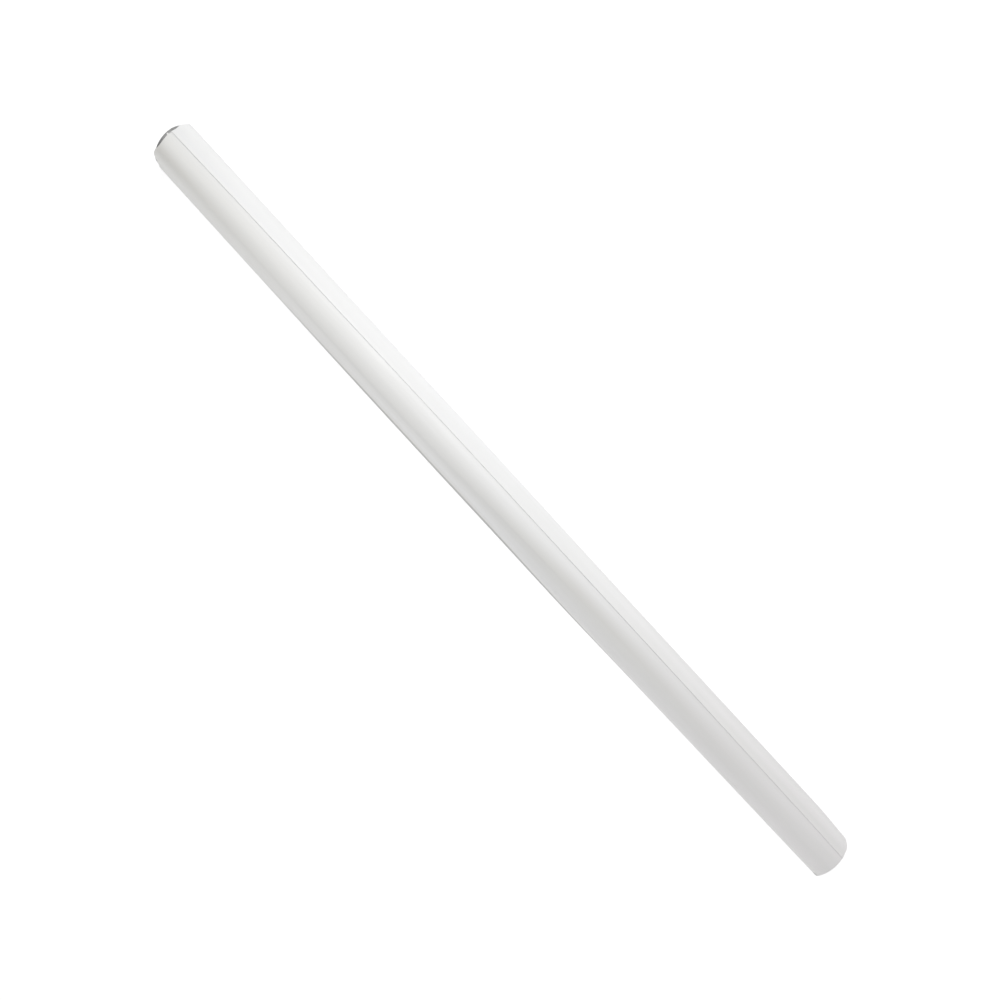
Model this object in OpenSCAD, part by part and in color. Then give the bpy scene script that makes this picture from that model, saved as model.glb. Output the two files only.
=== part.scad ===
// Telescopic white cane, pushed together: five nested aluminium sections, the
// outermost one covered by a rolled white sleeve with one lengthwise seam.
// X runs along the cane, from the metal glide tip (-X) to the butt (+X), and
// the cane lies on the plane Z = 0. Every section slides out towards -X.

/* [Sleeve] */
// Outer diameter of the sleeve's straight middle
sleeve_d = 17; // [16.6:0.1:18]
// Outer diameter of the sleeve at its tip end
sleeve_tip_d = 16; // [15:0.1:16.4]
// Outer diameter of the sleeve at its butt end
sleeve_butt_d = 15; // [14.6:0.1:16.4]
// Length of the sleeve
sleeve_len = 298; // [280:1:320]
// Length of the straight middle, where a clip can hold the cane
grip_len = 80; // [60:5:120]
// Angle from the top of the cane round to the seam
seam_angle = 20; // [0:5:90]
// Width of the open seam, as an angle at the axis
seam_gap = 1; // [0.5:0.5:4]

/* [Sections] */
// Outer diameter of the handle tube
handle_d = 13.8; // [13.5:0.1:14.2]
// Wall thickness of every tube
tube_wall = 0.5; // [0.4:0.05:0.6]
// Radial space between one tube and the next
tube_gap = 0.45; // [0.4:0.05:0.5]
// Radial running clearance of each bush and friction sleeve
running_gap = 0.05; // [0.02:0.01:0.09]
// Length of the bush in each tube's mouth
bush_len = 10; // [8:1:14]
// Length of the friction sleeve on each section's base
friction_len = 14; // [10:1:18]
// Width of the slot that lets a friction sleeve spring open
friction_slot = 1.2; // [0.8:0.1:2]

/* [Butt] */
// Thickness of the butt cap's flange
cap_t = 2.5; // [2:0.1:3]
// Length of the cap's spigot inside the plug
spigot_len = 3.5; // [3:0.1:4]
// Diameter of the hole for a wrist cord
cord_hole_d = 4; // [3:0.1:4.6]
// Wall thickness of the metal eyelet round that hole
eyelet_wall = 0.6; // [0.4:0.1:0.8]
// Length of the plug in the butt of the handle tube
plug_len = 12; // [12:1:16]
// Diameter of the hollow in the plug
plug_hollow_d = 9; // [8:0.5:10]
// Thickness of the plug's closed end
plug_floor = 2.5; // [2:0.1:3]
// Diameter of the pin across the butt
butt_pin_d = 2; // [1.5:0.1:2.4]
// Thickness of the bumper that the sections come to rest against
bumper_t = 2; // [1.5:0.1:3]

/* [Tip] */
// Diameter of the metal glide tip
tip_d = 14; // [13.2:0.1:14]
// Height of the glide tip's straight rim
tip_rim = 1.2; // [0.8:0.1:1.6]
// Height of the glide tip's dome
tip_dome = 1.4; // [1:0.1:2.4]
// Gap between the glide tip and the mouth of the handle
tip_gap = 0.4; // [0.3:0.05:0.6]
// Diameter of the threaded stud on the glide tip's back
stud_d = 3; // [2.5:0.1:3.4]
// Length of that stud
stud_len = 6; // [5:0.5:7]
// Length of the tip holder inside the last section
holder_len = 14; // [14:1:18]
// Diameter of the pin across the tip holder
tip_pin_d = 1.6; // [1.2:0.1:1.8]
// Diameter of the buffer ring's centreline
buffer_d = 11.2; // [10.6:0.1:11.6]
// Width of the buffer ring
buffer_w = 1.2; // [0.8:0.1:1.4]

/* [Hidden] */
$fn = 72;

axis_z = sleeve_d / 2;
tip_len = tip_gap + tip_rim + tip_dome;
overall_len = sleeve_len + tip_len;
butt_x = overall_len / 2;
mouth_x = butt_x - sleeve_len;
tip_back_x = mouth_x - tip_gap;
tube_end_x = butt_x - cap_t;
plug_x = tube_end_x - plug_len;
bumper_x = plug_x - bumper_t;
base_gap = 0.3;
base_x = bumper_x - base_gap;
butt_pin_x = plug_x + plug_floor + butt_pin_d;
tip_pin_x = tip_back_x + stud_len + 2.5 * tip_pin_d;

taper_steps = 12;
dome_steps = 16;
flange_w = 1.6;
flange_r = cord_hole_d / 2 + flange_w;
flange_t = 0.5;
groove_depth = 0.6;
buffer_proud = 0.2;
bumper_gap = 0.3;
pin_short = 0.1;
thread_gap = 0.05;
stud_room = 0.5;
cut = 1;

// Outer and inner radius of section i, where section 0 is the handle tube
function tube_r(i) = handle_d / 2 - i * (tube_wall + tube_gap);
function bore_r(i) = tube_r(i) - tube_wall;

// The sleeve's outer radius at distance d from the middle of its length
function taper(d) = max(0, (d - grip_len / 2) / (sleeve_len / 2 - grip_len / 2));
function sleeve_r(d, end_d) = sleeve_d / 2 - (sleeve_d - end_d) / 2 * pow(taper(d), 2);

// The points of the sleeve's outer line on one half, from the end to the middle
function half_line(side, end_d) = [
    for (k = [0 : taper_steps])
        let (d = sleeve_len / 2 - k / taper_steps * (sleeve_len - grip_len) / 2)
        [sleeve_r(d, end_d), sleeve_len / 2 + side * d]
];
function reversed(points) = [for (k = [len(points) - 1 : -1 : 0]) points[k]];

// Children lie on the cane's axis: their Z runs towards the butt from x
module along(x) {
    translate([x, 0, axis_z]) rotate([0, 90, 0]) children();
}

// The same, with their Z running towards the tip
module toward_tip(x) {
    translate([x, 0, axis_z]) rotate([0, -90, 0]) children();
}

module ring(r_out, r_in, h) {
    difference() {
        cylinder(r = r_out, h = h);
        translate([0, 0, -cut]) cylinder(r = r_in, h = h + 2 * cut);
    }
}

// A pin across the cane, level and centred on its axis
module cross_pin(x, d, h) {
    translate([x, 0, axis_z]) rotate([90, 0, 0]) cylinder(d = d, h = h, center = true);
}

// The white cover: a barrel with a straight middle, open along its seam
module sleeve() {
    color("white") along(mouth_x)
        rotate([0, 0, 180 - seam_angle + seam_gap / 2])
            rotate_extrude(angle = 360 - seam_gap)
                polygon(concat(
                    [[handle_d / 2, 0]],
                    half_line(-1, sleeve_tip_d),
                    reversed(half_line(1, sleeve_butt_d)),
                    [[handle_d / 2, sleeve_len]]
                ));
}

module handle_tube() {
    color("silver") difference() {
        along(mouth_x) ring(tube_r(0), bore_r(0), tube_end_x - mouth_x);
        cross_pin(butt_pin_x, butt_pin_d, handle_d + 2 * cut);
    }
}

// Guide bush in the mouth of tube i, running on section i + 1
module mouth_bush(i) {
    color("dimgray") along(mouth_x)
        ring(bore_r(i), tube_r(i + 1) + running_gap, bush_len);
}

// Split brass sleeve on the base of section i, gripping the bore round it
module friction_sleeve(i) {
    color("goldenrod") along(base_x - friction_len) difference() {
        ring(bore_r(i - 1) - running_gap, tube_r(i), friction_len);
        translate([0, -friction_slot / 2, -cut])
            cube([handle_d, friction_slot, friction_len + 2 * cut]);
    }
}

module section_tube(i, front_x) {
    color("white") along(front_x) ring(tube_r(i), bore_r(i), base_x - front_x);
}

module butt_plug() {
    color("lightgray") difference() {
        along(plug_x) difference() {
            cylinder(r = bore_r(0), h = plug_len);
            translate([0, 0, plug_floor]) cylinder(d = plug_hollow_d, h = plug_len);
        }
        cross_pin(butt_pin_x, butt_pin_d, handle_d);
    }
}

// Flanged cap in the butt, with a stepped hole for the eyelet
module butt_cap() {
    color("white") along(tube_end_x) difference() {
        union() {
            cylinder(r = tube_r(0), h = cap_t);
            translate([0, 0, -spigot_len]) cylinder(d = plug_hollow_d, h = spigot_len);
        }
        translate([0, 0, -spigot_len - cut])
            cylinder(d = cord_hole_d + 2 * eyelet_wall, h = spigot_len + cap_t + 2 * cut);
        translate([0, 0, cap_t - flange_t]) cylinder(r = flange_r, h = flange_t + cut);
    }
}

module cord_eyelet() {
    color("silver") along(tube_end_x - spigot_len) difference() {
        union() {
            cylinder(d = cord_hole_d + 2 * eyelet_wall, h = spigot_len + cap_t);
            translate([0, 0, spigot_len + cap_t - flange_t])
                cylinder(r = flange_r, h = flange_t);
        }
        translate([0, 0, -cut])
            cylinder(d = cord_hole_d, h = spigot_len + cap_t + 2 * cut);
    }
}

module butt_pin() {
    color("gray") cross_pin(butt_pin_x, butt_pin_d, handle_d - 2 * pin_short);
}

module bumper() {
    color("black") along(bumper_x) cylinder(r = bore_r(0) - bumper_gap, h = bumper_t);
}

module section_2_tube() { section_tube(1, mouth_x); }
module section_2_bush() { mouth_bush(1); }
module section_2_friction_sleeve() { friction_sleeve(1); }
module section_3_tube() { section_tube(2, mouth_x); }
module section_3_bush() { mouth_bush(2); }
module section_3_friction_sleeve() { friction_sleeve(2); }
module section_4_tube() { section_tube(3, mouth_x); }
module section_4_bush() { mouth_bush(3); }
module section_4_friction_sleeve() { friction_sleeve(3); }
module handle_bush() { mouth_bush(0); }

module section_5_tube() {
    difference() {
        section_tube(4, tip_back_x);
        cross_pin(tip_pin_x, tip_pin_d, handle_d);
    }
}

module section_5_friction_sleeve() { friction_sleeve(4); }

module tip_holder() {
    color("ivory") difference() {
        along(tip_back_x) difference() {
            cylinder(r = bore_r(4), h = holder_len);
            translate([0, 0, -cut]) cylinder(d = stud_d + 2 * thread_gap, h = stud_len + stud_room + cut);
        }
        cross_pin(tip_pin_x, tip_pin_d, handle_d);
    }
}

module tip_pin() {
    color("gray") cross_pin(tip_pin_x, tip_pin_d, 2 * (tube_r(4) - pin_short));
}

module tip_buffer() {
    color("black") along(tip_back_x - groove_depth)
        ring((buffer_d + buffer_w) / 2, (buffer_d - buffer_w) / 2, groove_depth + buffer_proud);
}

// Domed metal tip with a groove for the buffer and a stud for the holder
module glide_tip() {
    tip_r = tip_d / 2;
    dome_r = (pow(tip_r, 2) + pow(tip_dome, 2)) / (2 * tip_dome);
    dome_z = tip_rim + tip_dome - dome_r;
    dome_angle = asin(tip_r / dome_r);
    dome_line = [
        for (k = [0 : dome_steps])
            let (a = dome_angle * (1 - k / dome_steps))
            [dome_r * sin(a), dome_z + dome_r * cos(a)]
    ];
    color("dimgray") toward_tip(tip_back_x) difference() {
        union() {
            rotate_extrude() polygon(concat([[0, 0], [tip_r, 0]], dome_line));
            translate([0, 0, -stud_len]) cylinder(d = stud_d, h = stud_len + tip_rim);
        }
        translate([0, 0, -cut])
            ring((buffer_d + buffer_w) / 2, (buffer_d - buffer_w) / 2, groove_depth + cut);
    }
}

sleeve();
handle_tube();
handle_bush();
butt_plug();
butt_cap();
cord_eyelet();
butt_pin();
bumper();
section_2_tube();
section_2_bush();
section_2_friction_sleeve();
section_3_tube();
section_3_bush();
section_3_friction_sleeve();
section_4_tube();
section_4_bush();
section_4_friction_sleeve();
section_5_tube();
section_5_friction_sleeve();
tip_holder();
tip_pin();
tip_buffer();
glide_tip();
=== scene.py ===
"""Looks for a telescopic white cane, pushed together and lying on a pale table, seen from above."""

import math

import bmesh
import bpy
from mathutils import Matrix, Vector, noise


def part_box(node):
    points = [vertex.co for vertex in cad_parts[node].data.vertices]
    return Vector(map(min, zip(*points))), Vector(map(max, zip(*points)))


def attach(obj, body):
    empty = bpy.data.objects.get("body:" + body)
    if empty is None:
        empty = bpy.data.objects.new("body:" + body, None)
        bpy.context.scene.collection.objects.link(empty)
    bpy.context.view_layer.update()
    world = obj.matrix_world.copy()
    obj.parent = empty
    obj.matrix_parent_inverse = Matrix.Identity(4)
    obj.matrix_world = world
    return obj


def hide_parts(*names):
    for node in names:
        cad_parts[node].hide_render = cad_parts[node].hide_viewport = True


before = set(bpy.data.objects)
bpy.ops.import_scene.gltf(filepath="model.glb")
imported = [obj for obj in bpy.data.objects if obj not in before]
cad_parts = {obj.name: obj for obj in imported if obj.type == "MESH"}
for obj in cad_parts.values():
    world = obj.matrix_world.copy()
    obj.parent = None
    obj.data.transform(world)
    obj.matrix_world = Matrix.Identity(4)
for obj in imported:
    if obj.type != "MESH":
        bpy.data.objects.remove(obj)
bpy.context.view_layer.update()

MM = 0.001

# ---------------------------------------------------------------- places and sizes from the frame

AXIS_Z = sum(corner.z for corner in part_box("handle_tube")) / 2
MOUTH_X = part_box("handle_tube")[0].x
BUTT_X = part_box("sleeve")[1].x

# How many flat steps a turned surface has round the axis, and a pin's
TURN_STEPS = 144
PIN_STEPS = 32
# A point this near the axis lies on it
ON_AXIS = 1e-9


def span(node):
    """A node's lowest and highest x, and its outer radius."""
    low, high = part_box(node)
    return low.x, high.x, (high.y - low.y) / 2


# ---------------------------------------------------------------- mesh helpers


def make_piece(name, points, faces, sharp_angle=35):
    """A smooth-shaded mesh object with its hard edges kept."""
    mesh = bpy.data.meshes.new(name)
    mesh.from_pydata(points, [], faces)
    shaped = bmesh.new()
    shaped.from_mesh(mesh)
    bmesh.ops.remove_doubles(shaped, verts=shaped.verts, dist=1e-7)
    bmesh.ops.recalc_face_normals(shaped, faces=shaped.faces)
    shaped.to_mesh(mesh)
    shaped.free()
    mesh.polygons.foreach_set("use_smooth", [True] * len(mesh.polygons))
    mesh.set_sharp_from_angle(angle=math.radians(sharp_angle))
    piece = bpy.data.objects.new(name, mesh)
    bpy.context.scene.collection.objects.link(piece)
    return piece


def rounded(corners, radius, steps=4):
    """A closed outline with its corners rounded, except those on the axis."""
    outline = []
    count = len(corners)
    for k, corner in enumerate(corners):
        here = Vector(corner)
        if here.y < ON_AXIS:
            outline.append(here)
            continue
        back = Vector(corners[k - 1]) - here
        ahead = Vector(corners[(k + 1) % count]) - here
        reach = min(radius, back.length * 0.49, ahead.length * 0.49)
        start = here + back.normalized() * reach
        end = here + ahead.normalized() * reach
        for step in range(steps + 1):
            u = step / steps
            outline.append(start * (1 - u) ** 2 + here * 2 * u * (1 - u) + end * u**2)
    return outline


def on_axis(x, r, angle):
    """The point at radius r round the cane's axis, the angle measured from +Z towards +Y."""
    return (x, r * math.sin(angle), AXIS_Z + r * math.cos(angle))


def across(centre_x):
    """The same for a pin that lies along Y: the place along the pin comes first."""

    def place(y, r, angle):
        return (centre_x + r * math.sin(angle), y, AXIS_Z + r * math.cos(angle))

    return place


def lathe(name, outline, place=on_axis, slot_angle=0.0, steps=TURN_STEPS):
    """Turns a closed outline of (x, radius) points round an axis; a slot leaves a split ring."""
    closed = slot_angle == 0
    turns = steps if closed else steps + 1
    sweep = 2 * math.pi - slot_angle
    rows = [
        [place(p.x, p.y, slot_angle / 2 + sweep * k / steps) for p in outline]
        for k in range(turns)
    ]
    size = len(outline)
    points = [point for row in rows for point in row]
    faces = []
    for k in range(steps):
        a, b = k * size, ((k + 1) % turns) * size
        for j in range(size):
            n = (j + 1) % size
            if outline[j].y < ON_AXIS and outline[n].y < ON_AXIS:
                continue
            faces.append((a + j, a + n, b + n, b + j))
    if not closed:
        faces.append(tuple(range(size)))
        faces.append(tuple(range(len(points) - size, len(points))))
    return make_piece(name, points, faces)


def ring_corners(x0, x1, r_out, r_in):
    """The outline of a plain ring or tube."""
    return [(x0, r_in), (x0, r_out), (x1, r_out), (x1, r_in)]


def fit(piece, node, body, material):
    """The piece stands for its CAD node, rides on its body and has its finish."""
    piece.data.materials.clear()
    piece.data.materials.append(material)
    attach(piece, body)
    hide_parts(node)
    return piece


# ---------------------------------------------------------------- materials

# Where the sleeve is tinted, and where light and shade are painted on it. Angles are round the
# axis, from the top towards +Y, and each has its reach to either side. Places are along the cane
# from its middle, with a half-length.

# A patch of painted reflected light, the whitest part, on its left side
REFLECTION_AT, REFLECTION_REACH = math.radians(-51), math.radians(15)
REFLECTION_X, REFLECTION_HALF = -0.055, 0.075
# A band of painted shade, a shadow core, along its left half: its middle towards the tip and
# towards the butt
SHADE_CORE_FROM_TO = (math.radians(-31), math.radians(-16))
SHADE_CORE_REACH = math.radians(26)
SHADE_CORE_X, SHADE_CORE_HALF = 0.035, 0.10
# A painted shadow line along its side, and a painted shadow in the corner where that side ends at
# the butt
SHADOW_LINE_AT, SHADOW_LINE_REACH = math.radians(-84), math.radians(12)
SHADOW_LINE_X, SHADOW_LINE_HALF = -0.006, 0.098
CORNER_X, CORNER_HALF = BUTT_X + 2 * MM, 2.4 * MM
CORNER_REACH = 1.8 * SHADOW_LINE_REACH

SLEEVE_COLORS = {
    "lighter_white": (0.91, 0.91, 0.91),
    "sheet_white": (0.855, 0.855, 0.853),
    "pinkish": (0.850, 0.828, 0.833),
    "warm_tint": (0.850, 0.846, 0.822),
    "flap": (0.822, 0.824, 0.826),
    "shade_core": (0.67, 0.66, 0.628),
    "underside_shade": (0.70, 0.70, 0.695),
    "scuffs_and_painted_shading": (0.40, 0.40, 0.395),
    "streak": (0.80, 0.80, 0.785),
    "mark": (0.74, 0.735, 0.725),
}


class Finish:
    """A Principled material with a few procedural layers."""

    def __init__(self, name, color, roughness, metallic=0.0):
        self.material = bpy.data.materials.new(name)
        self.material.use_nodes = True
        self.nodes = self.material.node_tree.nodes
        self.links = self.material.node_tree.links
        self.shader = self.nodes["Principled BSDF"]
        self.shader.inputs["Base Color"].default_value = (*color, 1)
        self.shader.inputs["Roughness"].default_value = roughness
        self.shader.inputs["Metallic"].default_value = metallic
        self.color = color
        self.coordinates = self.nodes.new("ShaderNodeTexCoord").outputs["Object"]
        self.height = None

    def node(self, kind, inputs=None, **settings):
        made = self.nodes.new(kind)
        for key, value in settings.items():
            setattr(made, key, value)
        for key, value in (inputs or {}).items():
            if isinstance(value, bpy.types.NodeSocket):
                self.links.new(value, made.inputs[key])
            else:
                made.inputs[key].default_value = value
        return made

    def noise(self, stretch, detail=3.0, rough=0.5):
        """Noise with that many features to the metre along x, y and z."""
        mapped = self.node("ShaderNodeMapping", {"Vector": self.coordinates, "Scale": stretch})
        settings = {"Scale": 1.0, "Detail": detail, "Roughness": rough}
        return self.node(
            "ShaderNodeTexNoise", {"Vector": mapped.outputs["Vector"], **settings}
        ).outputs["Fac"]

    def turned(self, pitch):
        """Rings round the axis, a pitch apart along x, from a lathe tool."""
        mapped = self.node(
            "ShaderNodeMapping", {"Vector": self.coordinates, "Scale": (1 / pitch, 0, 0)}
        )
        return self.node(
            "ShaderNodeTexWave",
            {"Vector": mapped.outputs["Vector"], "Scale": 0.5, "Distortion": 0.6, "Detail": 2.0},
        ).outputs["Fac"]

    def facing_rings(self, pitch):
        """Circles round the axis on a face turned on a lathe."""
        _, sideways, up = self.places()
        flat = self.node("ShaderNodeCombineXYZ", {"X": sideways, "Y": up}).outputs[0]
        radius = self.node("ShaderNodeVectorMath", {0: flat}, operation="LENGTH")
        turns = self.math("MULTIPLY", radius.outputs["Value"], 2 * math.pi / pitch)
        return self.math("SINE", turns)

    def math(self, operation, *values):
        return self.node("ShaderNodeMath", dict(enumerate(values)), operation=operation).outputs[0]

    def ramp(self, value, low, high, out_low=0.0, out_high=1.0):
        """Maps low to high onto the outputs, and holds them beyond."""
        limits = {"From Min": low, "From Max": high, "To Min": out_low, "To Max": out_high}
        return self.node("ShaderNodeMapRange", {"Value": value, **limits}).outputs["Result"]

    def apart(self, value, place):
        """How far a value is from a place, either way."""
        return self.math("ABSOLUTE", self.math("SUBTRACT", value, place))

    def patch(self, angle, middle, reach, along, centre, half):
        """1 inside a patch of the surface, falling to 0 over the outer part of its reach."""
        round_axis = self.ramp(self.apart(angle, middle), reach, 0.6 * reach)
        lengthwise = self.ramp(self.apart(along, centre), half, 0.5 * half)
        return self.math("MULTIPLY", round_axis, lengthwise)

    def places(self):
        """The place along the cane, sideways and above its axis."""
        split = self.node("ShaderNodeSeparateXYZ", {"Vector": self.coordinates}).outputs
        return split["X"], split["Y"], self.math("SUBTRACT", split["Z"], AXIS_Z)

    def tint(self, factor, color):
        """Mixes another colour in by the factor, over what is there."""
        socket = self.shader.inputs["Base Color"]
        under = socket.links[0].from_socket if socket.is_linked else None
        mix = self.node("ShaderNodeMix", {"Factor": factor}, data_type="RGBA")
        if under:
            self.links.new(under, mix.inputs["A"])
        else:
            mix.inputs["A"].default_value = (*self.color, 1)
        mix.inputs["B"].default_value = (*color, 1)
        self.links.new(mix.outputs["Result"], socket)
        return self

    def vary_roughness(self, factor, low, high):
        self.links.new(self.ramp(factor, 0.3, 0.7, low, high), self.shader.inputs["Roughness"])
        return self

    def bump(self, height, distance, strength=1.0):
        """Adds relief of that depth, in metres."""
        made = self.node(
            "ShaderNodeBump", {"Height": height, "Distance": distance, "Strength": strength}
        )
        if self.height:
            self.links.new(self.height, made.inputs["Normal"])
        self.height = made.outputs["Normal"]
        self.links.new(self.height, self.shader.inputs["Normal"])
        return self


def vinyl():
    """The sleeve's satin white sheet: fine grain, faint lengthwise streaks and marks, with painted
    reflected light, painted shade and a painted shadow line.
    """
    color = SLEEVE_COLORS
    made = Finish("white_vinyl", color["lighter_white"], 0.48)
    along, sideways, up = made.places()
    angle = made.math("ARCTAN2", sideways, up)

    # Painted reflected light: a lighter patch on the left side keeps the lighter white, and so does
    # the +Y side near the butt; the rest takes the sheet's white
    painted_reflection = made.patch(angle, REFLECTION_AT, REFLECTION_REACH, along, REFLECTION_X, REFLECTION_HALF)
    at_butt = made.ramp(along, 0.11, 0.14, 0, 0.9)
    lighter_butt_side = made.math("MULTIPLY", made.ramp(angle, 0.5, 0.3), at_butt)
    lighter_places = made.math("MAXIMUM", painted_reflection, lighter_butt_side)
    made.tint(made.math("SUBTRACT", 1, lighter_places), color["sheet_white"])

    made.tint(made.ramp(along, 0.02, 0.15, 0, 0.8), color["pinkish"])
    # Warmer on the left side, towards the tip
    warm_tint = made.math("MULTIPLY", made.ramp(angle, 0.5, 0.0), made.ramp(along, 0.0, -0.15))
    made.tint(warm_tint, color["warm_tint"])
    # Painted shade: the flap side, which the key lamp lights, is painted darker from the middle
    # towards the tip
    flap = made.math("MULTIPLY", made.ramp(angle, 0.25, 0.5), made.ramp(along, 0.05, -0.02))
    made.tint(flap, color["flap"])

    # Painted shade: a darker band along the left half, strongest near the tip and in the middle
    shade_core_at = made.ramp(along, -0.05, 0.035, *SHADE_CORE_FROM_TO)
    band = made.ramp(made.apart(angle, shade_core_at), SHADE_CORE_REACH, 0)
    near_tip = made.math("POWER", made.ramp(along, -0.03, -0.15), 2.4)
    near_core_middle = made.ramp(made.apart(along, SHADE_CORE_X), SHADE_CORE_HALF, 0, 0, 0.7)
    between = made.ramp(along, 0.0, -0.03, 0, 0.28)
    most = made.math("MAXIMUM", made.math("MAXIMUM", near_tip, near_core_middle), between)
    made.tint(made.math("MULTIPLY", band, most), color["shade_core"])

    # Painted shade: darker below the axis near both ends
    low = made.ramp(up, 4.5 * MM, -1 * MM)
    near_ends = made.ramp(made.apart(along, 0), 0.02, 0.13)
    made.tint(made.math("MULTIPLY", low, near_ends), color["underside_shade"])

    streaks = made.noise((14, 420, 420), detail=3)
    # Painted shadow: a dark line along the lower left side, broken up by the streaks, and a dark
    # sliver in its corner at the butt
    line = made.patch(angle, SHADOW_LINE_AT, SHADOW_LINE_REACH, along, SHADOW_LINE_X, SHADOW_LINE_HALF)
    line = made.math("MULTIPLY", line, made.ramp(streaks, 0.35, 0.55, 0.75, 1))
    corner = made.patch(angle, SHADOW_LINE_AT, CORNER_REACH, along, CORNER_X, CORNER_HALF)
    made.tint(made.math("MAXIMUM", line, corner), color["scuffs_and_painted_shading"])

    made.tint(made.ramp(streaks, 0.35, 0.7, 0, 0.55), color["streak"])
    marks = made.noise((55, 130, 130), detail=5, rough=0.6)
    made.tint(made.ramp(marks, 0.62, 0.85, 0, 0.4), color["mark"])
    made.vary_roughness(made.noise((60, 500, 500)), 0.42, 0.55)
    made.bump(made.noise((7000, 9000, 9000), detail=2), 0.006 * MM, 0.5)
    made.bump(streaks, 0.02 * MM, 0.4)
    return made.material


def enamel(front_x):
    """White baked paint, worn to the metal round a section's front lip and marked by sliding."""
    made = Finish("white_enamel", (0.83, 0.83, 0.825), 0.26)
    slides = made.noise((12, 1500, 1500), detail=4)
    made.tint(made.ramp(slides, 0.6, 0.75, 0, 0.35), (0.66, 0.66, 0.65))
    made.vary_roughness(slides, 0.2, 0.38)
    made.bump(made.noise((900, 900, 900), detail=2), 0.01 * MM, 0.35)
    near_lip = made.ramp(made.places()[0], front_x + 0.1 * MM, front_x + 1.4 * MM, 1.0, 0.0)
    chipped = made.math("MULTIPLY", near_lip, made.noise((1800, 1800, 1800), detail=4))
    made.tint(made.ramp(chipped, 0.36, 0.42), (0.52, 0.52, 0.53))
    return made.material


def drawn_aluminium():
    made = Finish("drawn_aluminium", (0.72, 0.725, 0.735), 0.3, metallic=1.0)
    lines = made.noise((20, 5200, 5200), detail=4)
    made.tint(made.ramp(lines, 0.4, 0.8, 0, 0.5), (0.55, 0.555, 0.565))
    made.vary_roughness(lines, 0.24, 0.42)
    made.bump(lines, 0.004 * MM, 0.6)
    return made.material


def acetal():
    made = Finish("dark_acetal", (0.05, 0.05, 0.053), 0.4)
    made.bump(made.facing_rings(0.12 * MM), 0.004 * MM, 0.5)
    made.tint(made.ramp(made.noise((900, 900, 900)), 0.45, 0.75, 0, 0.6), (0.09, 0.09, 0.093))
    made.vary_roughness(made.noise((400, 400, 400)), 0.32, 0.5)
    return made.material


def spring_brass():
    made = Finish("spring_brass", (0.72, 0.53, 0.24), 0.28, metallic=1.0)
    made.tint(made.ramp(made.noise((500, 700, 700)), 0.45, 0.75, 0, 0.7), (0.52, 0.36, 0.15))
    made.vary_roughness(made.noise((60, 2600, 2600)), 0.2, 0.42)
    made.bump(made.turned(0.18 * MM), 0.004 * MM, 0.6)
    return made.material


def cap_plastic():
    made = Finish("white_cap_plastic", (0.82, 0.82, 0.81), 0.36)
    stains = made.noise((300, 300, 300), detail=5)
    made.tint(made.ramp(stains, 0.55, 0.8, 0, 0.5), (0.72, 0.715, 0.70))
    made.vary_roughness(made.noise((700, 700, 700)), 0.3, 0.46)
    made.bump(made.noise((5200, 5200, 5200), detail=2), 0.008 * MM, 0.5)
    return made.material


def nylon():
    made = Finish("natural_nylon", (0.70, 0.68, 0.60), 0.45)
    made.tint(made.ramp(made.noise((600, 600, 600)), 0.4, 0.8, 0, 0.5), (0.60, 0.58, 0.50))
    made.vary_roughness(made.noise((900, 900, 900)), 0.38, 0.55)
    made.bump(made.turned(0.3 * MM), 0.006 * MM, 0.5)
    return made.material


def nickel():
    made = Finish("nickel_plate", (0.66, 0.64, 0.60), 0.16, metallic=1.0)
    made.tint(made.ramp(made.noise((1500, 1500, 1500)), 0.5, 0.8, 0, 0.6), (0.48, 0.46, 0.42))
    made.vary_roughness(made.noise((2500, 2500, 2500)), 0.1, 0.3)
    made.bump(made.noise((3000, 3000, 3000), detail=2), 0.003 * MM, 0.4)
    return made.material


def ground_steel():
    made = Finish("ground_steel", (0.46, 0.46, 0.47), 0.3, metallic=1.0)
    made.tint(made.ramp(made.noise((900, 900, 900)), 0.45, 0.8, 0, 0.6), (0.32, 0.32, 0.33))
    made.vary_roughness(made.noise((2400, 300, 2400)), 0.22, 0.42)
    made.bump(made.noise((6000, 400, 6000)), 0.003 * MM, 0.5)
    return made.material


def rubber():
    made = Finish("black_rubber", (0.028, 0.028, 0.028), 0.62)
    made.tint(made.ramp(made.noise((700, 700, 700)), 0.5, 0.8, 0, 0.7), (0.06, 0.06, 0.058))
    made.vary_roughness(made.noise((1200, 1200, 1200)), 0.52, 0.75)
    made.bump(made.noise((4200, 4200, 4200), detail=3), 0.01 * MM, 0.6)
    return made.material


# Where a highlight is painted among the glide tip's scuffs: sideways of its axis, above it, and how
# far that reaches
HIGHLIGHT_Y, HIGHLIGHT_UP = 1.9 * MM, 6.5 * MM
HIGHLIGHT_INNER, HIGHLIGHT_OUTER = 1.5 * MM, 5 * MM


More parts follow.
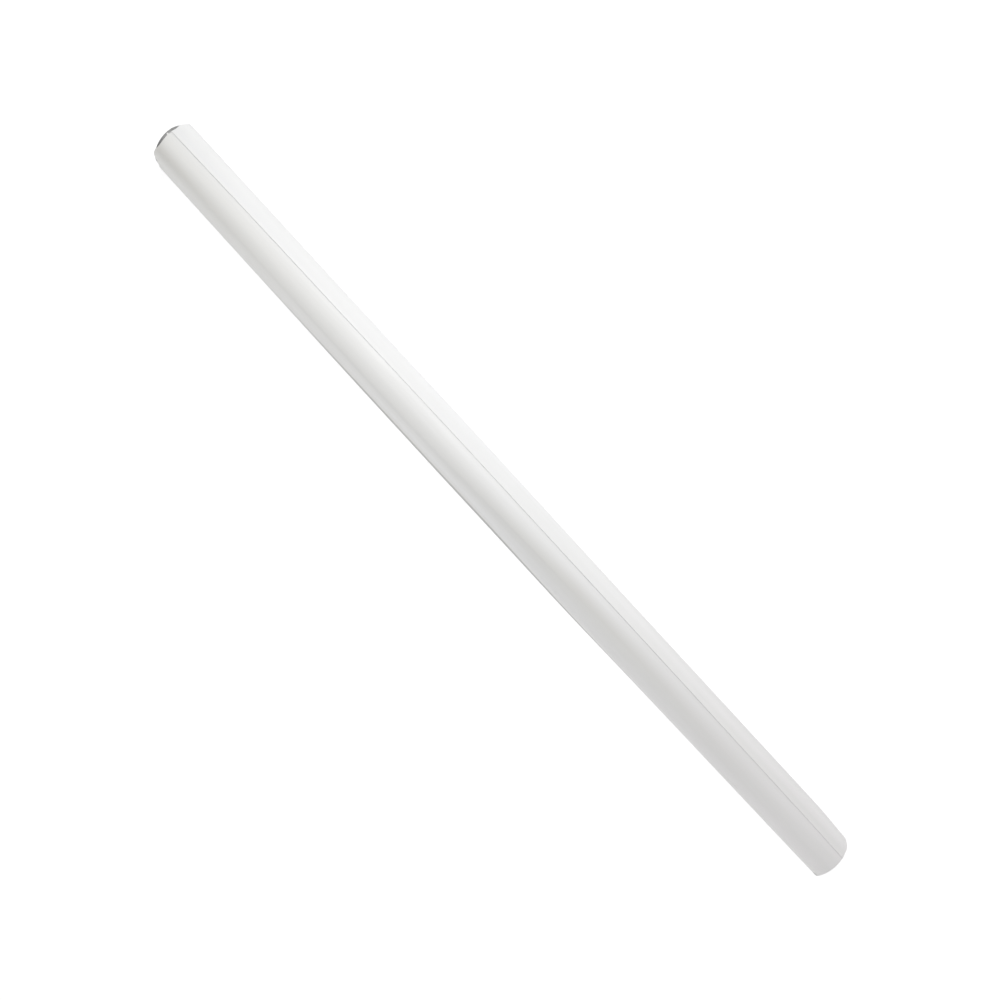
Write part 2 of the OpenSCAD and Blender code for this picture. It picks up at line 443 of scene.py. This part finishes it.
def glide_steel():
    """Dark steel, turned on a lathe, with bright scuffs all over and a painted highlight on its
    upper +Y side, where the scuffs are made brightest.
    """
    made = Finish("dark_glide_steel", (0.30, 0.30, 0.303), 0.3, metallic=1.0)
    scuffs = made.noise((900, 1100, 1000), detail=6, rough=0.7)
    _, sideways, up = made.places()
    aside = made.math("POWER", made.apart(sideways, HIGHLIGHT_Y), 2)
    above = made.math("POWER", made.apart(up, HIGHLIGHT_UP), 2)
    from_patch = made.math("SQRT", made.math("ADD", aside, above))
    # Painted highlight: the scuffs are brighter on the upper +Y side, where the key lamp falls
    highlight_weight = made.ramp(from_patch, HIGHLIGHT_OUTER, HIGHLIGHT_INNER, 0.35, 1.0)
    scuffs_and_painted_shading = made.math("MULTIPLY", highlight_weight, scuffs)
    made.tint(made.ramp(scuffs_and_painted_shading, 0.24, 0.6, 0, 0.8), (0.7, 0.7, 0.69))
    made.vary_roughness(scuffs, 0.22, 0.46)
    made.bump(made.facing_rings(0.16 * MM), 0.004 * MM, 0.5)
    made.bump(scuffs, 0.012 * MM, 0.45)
    return made.material


# ---------------------------------------------------------------- the sleeve, a rolled sheet

# Thickness of the sheet, the air in its lap, and how far its free edge curls up, over what width
SHEET_T = 0.16 * MM
LAP_GAP = 0.02 * MM
CURL = 0.05 * MM
CURL_REACH = 0.5 * MM
# How far the sheet laps over itself, where the lap's free edge is halfway along the cane, and how
# far it has drawn round from there at either end
LAP_ANGLE = math.radians(11)
SEAM_ANGLE = math.radians(21.3)
SEAM_DRAW = math.radians(2.8)
# The flap is flatter from its free edge to here, and the left side between its start and a crease
FLAP_END = math.radians(80)
FACET_START = math.radians(-84)
# Half the cane's length, for what changes from its middle to its ends
HALF_LENGTH = 0.15


def smooth(u):
    """An even rise from 0 to 1 as u does, and level beyond."""
    u = min(1.0, max(0.0, u))
    return u * u * (3 - 2 * u)


def bell(value, centre, width):
    """1 at the centre, falling off to either side."""
    return math.exp(-(((value - centre) / width) ** 2))


def thickness(x):
    """The sheet is thinner towards the butt, and where a hand has worn its free edge."""
    drawn = 0.35 * smooth((x - 0.02) / 0.12)
    worn = 0.42 * bell(x, -0.035, 0.032)
    return SHEET_T * (1 - drawn - worn)


def left_width(x):
    """How far the sheet bows out on its -Y side: most a little tipwards of the middle."""
    widest_x, draw_length = -0.020, 0.167
    drawn_in = 1.26 * abs((x - widest_x) / draw_length) ** 1.45
    swell = 0.20 * bell(x, 0.038, 0.022) - 0.07 * bell(x, -0.03, 0.03)
    return (8.54 - drawn_in + 0.14 * x / HALF_LENGTH + swell) * MM


def right_width(x):
    """The +Y side is nearly straight, a touch wider at the tip, and only draws in at the butt."""
    drawn_in = 0.55 * smooth((x - 0.138) / 0.014)
    swell = 0.16 * bell(x, -0.018, 0.035)
    return (8.27 - 0.35 * x / HALF_LENGTH - drawn_in + swell) * MM


def seam_at(x):
    """The angle of the lap's free edge: nearly straight, with a slight wander."""
    wander = math.radians(0.5) * noise.noise(Vector((x * 22, 3.1, 0)))
    return SEAM_ANGLE - SEAM_DRAW * (x / HALF_LENGTH) ** 2 - wander


def flattened(angle, start, end, flatness):
    """Brings a stretch of the round nearer to its chord, wholly so at a flatness of 1."""
    if not start < angle < end:
        return 1.0
    chord = math.cos((end - start) / 2) / math.cos(angle - (start + end) / 2)
    return 1 - flatness * (1 - chord)


def round_radius(angle, x):
    """Outer radius of the sheet without its lap: round, with a flatter stretch on each side."""
    left, right = left_width(x), right_width(x)
    radius = (left + right) / 2 + (right - left) / 2 * math.sin(angle)
    flap = 0.70 - 0.35 * smooth((-0.09 - x) / 0.06) - 0.40 * smooth((x - 0.09) / 0.06)
    facet = 0.55 * (1 - smooth((x + 0.01) / 0.07))
    crease = math.radians(-34 + 16 * smooth((x + 0.05) / 0.09))
    radius *= flattened(angle, seam_at(x), FLAP_END, flap)
    return radius * flattened(angle, FACET_START, crease, facet)


def ripple(angle, x):
    """Faint lengthwise unevenness of the rolled sheet."""
    place = Vector((x * 16, 3.2 * math.cos(angle), 3.2 * math.sin(angle)))
    return noise.noise(place) * 0.035 * MM


def sheet_radius(turn, x):
    """Outer radius at an unwrapped angle, which runs from under the flap round to its edge."""
    seam = seam_at(x)
    angle = turn if turn > -math.pi else turn + 2 * math.pi
    step = thickness(x) + LAP_GAP
    radius = round_radius(angle, x) + ripple(angle, x)
    lift = 1 - smooth((angle - seam) / (FLAP_END - seam))
    if turn > seam:
        return radius + step * lift - step
    if turn < -math.pi and angle < FLAP_END:
        return radius + step * lift + CURL * math.exp(-(angle - seam) * radius / CURL_REACH)
    return radius


def tip_end(angle):
    """Where the sheet stops at the tip, cut back on top so that the metal shows.

    Worked out in millimetres past the handle tube's mouth: the slant, a frayed point and the two
    ears reach further out, and the hollow and the bite cut back.
    """
    off = math.degrees(angle) - 6
    hollow = 0.98 * max(0, 1 - (off / (44 if off < 0 else 40)) ** 4)
    fray = 0.8 * bell(off, 3, 1.6)
    slant = 0.4 * math.sin(angle)
    left_ear = 0.65 * bell(off, -60, 10)
    right_ear = 0.6 * bell(off, 84, 18)
    bite = 1.9 * bell(off, -96, 25)
    return MOUTH_X - (0.85 + slant + fray + left_ear + right_ear - hollow - bite) * MM


def butt_end(angle):
    """The sheet's cut at the butt is askew too, and longest at its -Y side."""
    tongue = 1.25 * bell(math.degrees(angle), -90, 32)
    ear = 0.45 * bell(math.degrees(angle), 54, 20)
    slant = 0.56 * math.sin(angle)
    return BUTT_X + (tongue + ear - slant) * MM


def sheet_turns():
    """Unwrapped angles from the seam, closer together near the visible seam and frayed point."""
    fine, coarse, fine_reach = math.radians(0.8), math.radians(2.5), math.radians(46)
    turns, turn = [], LAP_ANGLE
    last = -2 * math.pi
    while turn > last:
        turns.append(turn)
        seen = turn + 2 * math.pi if turn < -math.pi else turn
        turn -= fine if abs(seen) < fine_reach else coarse
    return turns + [last]


def rolled_sleeve():
    """The sheet's cross-sections from the tip to the butt, each one a closed loop of points."""
    rim = [0, 0.05 * MM, 0.15 * MM, 0.4 * MM, 1.2 * MM, 2.5 * MM, 5 * MM]
    length = BUTT_X - MOUTH_X
    inner_steps = 96
    inner_length = length - 2 * rim[-1]
    inner = [rim[-1] + inner_length * k / inner_steps for k in range(1, inner_steps)]
    stations = [s / length for s in rim + inner + [length - r for r in reversed(rim)]]
    cut_edge = [0.45, 0.2, 0.05]
    pinch = cut_edge + [0.0] * (len(stations) - 2 * len(cut_edge)) + cut_edge[::-1]
    edge_steps = 5
    rows = []
    for share, draw_in in zip(stations, pinch):
        outer, under = [], []
        for turn in sheet_turns():
            x_guess = MOUTH_X + share * length
            here = turn + seam_at(x_guess)
            angle = here if here > -math.pi else here + 2 * math.pi
            x = tip_end(angle) * (1 - share) + butt_end(angle) * share
            radius, thick = sheet_radius(here, x_guess), thickness(x_guess)
            outer.append(on_axis(x, radius - thick * draw_in, here))
            under.append(on_axis(x, radius - thick * (1 - draw_in), here))
        rows.append(outer + rounded_edge(outer[-1], under[-1], edge_steps, -1)
                    + under[::-1] + rounded_edge(under[0], outer[0], edge_steps, 1))
    return rows


def rounded_edge(start, end, steps, side):
    """Points of a half-round edge of the sheet between two surface points."""
    a, b = Vector(start), Vector(end)
    middle, half = (a + b) / 2, (a - b) / 2
    radial = Vector((0, middle.y, middle.z - AXIS_Z)).normalized()
    along = Vector((0, radial.z, -radial.y)) * side * half.length
    return [
        tuple(middle + half * math.cos(math.pi * k / steps) + along * math.sin(math.pi * k / steps))
        for k in range(1, steps)
    ]


def make_sleeve():
    """Joins the cross-sections, and closes the sheet's cut at both ends."""
    rows = rolled_sleeve()
    size = len(rows[0])
    points = [point for row in rows for point in row]
    faces = []
    for k in range(len(rows) - 1):
        a, b = k * size, (k + 1) * size
        faces += [(a + j, a + (j + 1) % size, b + (j + 1) % size, b + j) for j in range(size)]
    half = len(sheet_turns())
    edge = (size - 2 * half) // 2
    for base in (0, (len(rows) - 1) * size):
        for j in range(half - 1):
            faces.append((base + j, base + j + 1,
                          base + 2 * half + edge - 2 - j, base + 2 * half + edge - 1 - j))
        faces.append(tuple(base + half - 1 + k for k in range(edge + 2)))
        faces.append(tuple(base + (2 * half + edge - 1 + k) % size for k in range(edge + 2)))
    return make_piece("rolled_sleeve", points, faces, sharp_angle=50)


# ---------------------------------------------------------------- turned pieces


def tube_piece(node, wall, crimp):
    """A drawn tube with rounded lips and, near its mouth, the groove that keeps its bush in."""
    x0, x1, r = span(node)
    outline = rounded(ring_corners(x0, x1, r, r - wall), 0.16 * MM)
    if crimp:
        depth, half_width, middle, half_steps = 0.12 * MM, 0.9 * MM, x0 + 5 * MM, 5
        shares = [k / half_steps - 1 for k in range(2 * half_steps + 1)]
        groove = [
            Vector((middle + half_width * u, r - depth * (1 + math.cos(math.pi * u)) / 2))
            for u in shares
        ]
        at = next(k for k, p in enumerate(outline) if p.x > middle)
        outline[at:at] = groove
    return lathe(node + "_turned", outline)


def bush_piece(node, wall):
    """A plain guide bush with softened edges."""
    x0, x1, r = span(node)
    return lathe(node + "_turned", rounded(ring_corners(x0, x1, r, r - wall), 0.12 * MM))


def friction_piece(node, wall, slot_width):
    """A split spring sleeve with two bulged bands that press on the bore round it."""
    x0, x1, r = span(node)
    relief = 0.06 * MM
    steps = ((0.0, r), (0.28, r), (0.36, r - relief), (0.64, r - relief), (0.72, r), (1.0, r))
    top = [(x0 + (x1 - x0) * share, radius) for share, radius in steps]
    outline = rounded([(x0, r - wall)] + top + [(x1, r - wall)], 0.15 * MM)
    return lathe(node + "_split", outline, slot_angle=slot_width / r)


def glide_piece():
    """The domed tip, with its rim, the groove for the buffer in its back, and its stud."""
    x0, x1, r = span("glide_tip")
    stud_length, stud_r, rim = 6 * MM, 1.5 * MM, 1 * MM
    groove_in, groove_out, groove_depth = 5 * MM, 6.2 * MM, 0.6 * MM
    set_back = 0.1 * MM
    lean_most, lean_reach = 0.85 * MM, 2.8 * MM
    dome_steps = 14

    back = x1 - stud_length
    rim_front = back - rim
    groove_x = back - groove_depth
    apex = x0 + set_back
    rise = rim_front - apex
    dome_r = (r * r + rise * rise) / (2 * rise)
    centre = apex + dome_r
    arcs = [math.asin(r / dome_r) * k / dome_steps for k in range(dome_steps)]
    dome = [(centre - dome_r * math.cos(arc), dome_r * math.sin(arc)) for arc in arcs]

    def worn(x, radius, angle):
        """Sweeping has worn the tip askew: its face leans, and its back stays square."""
        lean = lean_most * math.tanh(radius / lean_reach) * math.sin(angle)
        return on_axis(x - lean * min(1, (back - x) / rim), radius, angle)

    corners = dome + [
        (rim_front, r), (back, r), (back, groove_out), (groove_x, groove_out),
        (groove_x, groove_in), (back, groove_in), (back, stud_r), (x1, stud_r), (x1, 0),
    ]
    return lathe("glide_dome", rounded(corners, 0.22 * MM), place=worn)


def cap_piece():
    """The butt cap: flange with a soft edge and a shallow dish, spigot and stepped hole."""
    x0, x1, r = span("butt_cap")
    flange_x = x1 - 2.5 * MM
    spigot, hole, recess = 4.5 * MM, 2.6 * MM, 3.6 * MM
    dish_x, recess_x = x1 - 0.25 * MM, x1 - 0.5 * MM
    corners = [
        (x0, hole), (x0, spigot), (flange_x, spigot), (flange_x, r), (x1, r),
        (x1, r - 1.2 * MM), (dish_x, r - 1.7 * MM), (dish_x, recess + 0.6 * MM),
        (x1, recess + 0.3 * MM), (x1, recess), (recess_x, recess), (recess_x, hole),
    ]
    return lathe("butt_cap_moulded", rounded(corners, 0.3 * MM))


def eyelet_piece():
    """A pressed eyelet with a rolled flange."""
    x0, x1, r = span("cord_eyelet")
    bore, outer, flange_x = 2 * MM, 2.6 * MM, x1 - 0.5 * MM
    corners = [(x0, bore), (x0, outer), (flange_x, outer), (flange_x, r), (x1, r), (x1, bore)]
    return lathe("cord_eyelet_rolled", rounded(corners, 0.24 * MM))


def plug_piece():
    """The butt's plug, with grooves between the ribs that grip the tube."""
    x0, x1, r = span("butt_plug")
    floor_x, hollow = x0 + 2.5 * MM, 4.5 * MM
    groove_r, pitch = r - 0.15 * MM, 2.6 * MM
    ribs = []
    for k in range(4):
        start = x0 + 1 * MM + k * pitch
        ribs += [(start, r), (start + 1.6 * MM, r)]
        ribs += [(start + 1.9 * MM, groove_r), (start + 2.3 * MM, groove_r)]
    corners = [(x0, 0), (x0, r)] + ribs + [(x1, r), (x1, hollow), (floor_x, hollow), (floor_x, 0)]
    return lathe("butt_plug_turned", rounded(corners, 0.2 * MM))


def bumper_piece():
    """A rubber pad with a chamfer towards the sections."""
    x0, x1, r = span("bumper")
    corners = [(x0, 0), (x0, r - 1.2 * MM), (x0 + 0.5 * MM, r), (x1, r), (x1, 0)]
    return lathe("bumper_moulded", rounded(corners, 0.3 * MM))


def holder_piece():
    """The plug that takes the glide tip's stud, with a lead-in chamfer at its inner end."""
    x0, x1, r = span("tip_holder")
    hole, hole_end = 1.55 * MM, x0 + 6.5 * MM
    corners = [
        (x0, hole), (x0, r), (x1 - 1 * MM, r), (x1, r - 0.7 * MM), (x1, 0),
        (hole_end, 0), (hole_end, hole),
    ]
    return lathe("tip_holder_turned", rounded(corners, 0.15 * MM))


def buffer_piece():
    """A soft ring in the glide tip's back face."""
    x0, x1, r = span("tip_buffer")
    width = 1.2 * MM
    return lathe("tip_buffer_moulded", rounded(ring_corners(x0, x1, r, r - width), 0.38 * MM))


def pin_piece(node):
    """A pin across the cane, with rounded ends."""
    low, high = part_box(node)
    r = (high.x - low.x) / 2
    corners = [(low.y, 0), (low.y, r), (high.y, r), (high.y, 0)]
    outline = rounded(corners, 0.25 * MM)
    place = across((low.x + high.x) / 2)
    return lathe(node + "_ground", outline, place=place, steps=PIN_STEPS)


# ---------------------------------------------------------------- the cane

TUBE_WALL = 0.5 * MM
BUSH_WALL = 0.4 * MM
SLOT_W = 1.2 * MM


def build_cane():
    black, brass, alloy = rubber(), spring_brass(), drawn_aluminium()
    dark, steel, white_plastic, plain_nylon = acetal(), ground_steel(), cap_plastic(), nylon()

    fit(make_sleeve(), "sleeve", "handle", vinyl())
    handle = tube_piece("handle_tube", TUBE_WALL, True)
    fit(handle, "handle_tube", "handle", alloy)
    fit(bush_piece("handle_bush", BUSH_WALL), "handle_bush", "handle", dark)
    fit(plug_piece(), "butt_plug", "handle", plain_nylon)
    fit(cap_piece(), "butt_cap", "handle", white_plastic)
    fit(eyelet_piece(), "cord_eyelet", "handle", nickel())
    fit(pin_piece("butt_pin"), "butt_pin", "handle", steel)
    fit(bumper_piece(), "bumper", "handle", black)

    for number in (2, 3, 4, 5):
        body = f"section_{number}"
        tube = f"{body}_tube"
        crimped = number < 5
        paint = enamel(span(tube)[0])
        fit(tube_piece(tube, TUBE_WALL, crimped), tube, body, paint)
        sleeve = f"{body}_friction_sleeve"
        fit(friction_piece(sleeve, BUSH_WALL, SLOT_W), sleeve, body, brass)
        if crimped:
            bush = f"{body}_bush"
            fit(bush_piece(bush, BUSH_WALL), bush, body, dark)

    fit(holder_piece(), "tip_holder", "section_5", plain_nylon)
    fit(pin_piece("tip_pin"), "tip_pin", "section_5", steel)
    fit(buffer_piece(), "tip_buffer", "section_5", black)
    fit(glide_piece(), "glide_tip", "section_5", glide_steel())


# ---------------------------------------------------------------- floor, light and camera

# The camera looks straight down from this height above the cane's axis
VIEW_HEIGHT = 0.2515
VIEW_ROLL = math.radians(47.23)
VIEW_X = 0.86 * MM
VIEW_Y = -0.12 * MM
LENS = 29.19

FLOOR_HALF = 30.0
FLOOR_GLOW = 0.64
SKY_STRENGTH = 0.585


def make_floor():
    """A wide pale table top that glows a little, so that it stays white all the way out."""
    mesh = bpy.data.meshes.new("floor")
    corners = ((-1, -1), (1, -1), (1, 1), (-1, 1))
    points = [(x * FLOOR_HALF, y * FLOOR_HALF, 0) for x, y in corners]
    mesh.from_pydata(points, [], [(0, 1, 2, 3)])
    floor = bpy.data.objects.new("floor", mesh)
    bpy.context.scene.collection.objects.link(floor)
    made = Finish("pale_floor", (0.60, 0.60, 0.60), 0.8)
    made.shader.inputs["Emission Color"].default_value = (1, 1, 1, 1)
    made.shader.inputs["Emission Strength"].default_value = FLOOR_GLOW
    made.bump(made.noise((120, 120, 120)), 0.01 * MM, 0.2)
    mesh.materials.append(made.material)


# Each light: its power, its size, where its beam meets the cane's axis, its own place along the
# cane, its lean from straight above and its distance
LIGHTS = {
    "key": (0.267, 0.16, -0.08, -0.08, math.radians(30), 0.24),
    "fill": (0.050, 0.12, 0.13, 0.22, math.radians(10), 0.25),
}


def make_light():
    """An even sky and two soft lamps, both aimed at the cane's axis."""
    world = bpy.data.worlds.new("studio")
    world.use_nodes = True
    sky = world.node_tree.nodes["Background"]
    sky.inputs["Color"].default_value = (1, 1, 1, 1)
    sky.inputs["Strength"].default_value = SKY_STRENGTH
    bpy.context.scene.world = world
    for name, (power, size, aim_x, x, lean, distance) in LIGHTS.items():
        data = bpy.data.lights.new(name, "AREA")
        data.shape = "DISK"
        data.size = size
        data.energy = power
        light = bpy.data.objects.new(name, data)
        light.location = (x, distance * math.sin(lean), AXIS_Z + distance * math.cos(lean))
        aim = Vector((aim_x, 0, AXIS_Z)) - light.location
        light.rotation_mode = "QUATERNION"
        light.rotation_quaternion = aim.to_track_quat("-Z", "Y")
        light.visible_camera = False
        bpy.context.scene.collection.objects.link(light)


def make_camera():
    data = bpy.data.cameras.new("camera")
    data.lens = LENS
    data.clip_start = 0.01
    camera = bpy.data.objects.new("camera", data)
    camera.location = (VIEW_X, VIEW_Y, AXIS_Z + VIEW_HEIGHT)
    camera.rotation_euler = (0, 0, VIEW_ROLL)
    bpy.context.scene.collection.objects.link(camera)
    bpy.context.scene.camera = camera


make_camera()
build_cane()
make_floor()
make_light()
bpy.context.scene.view_settings.view_transform = "Standard"
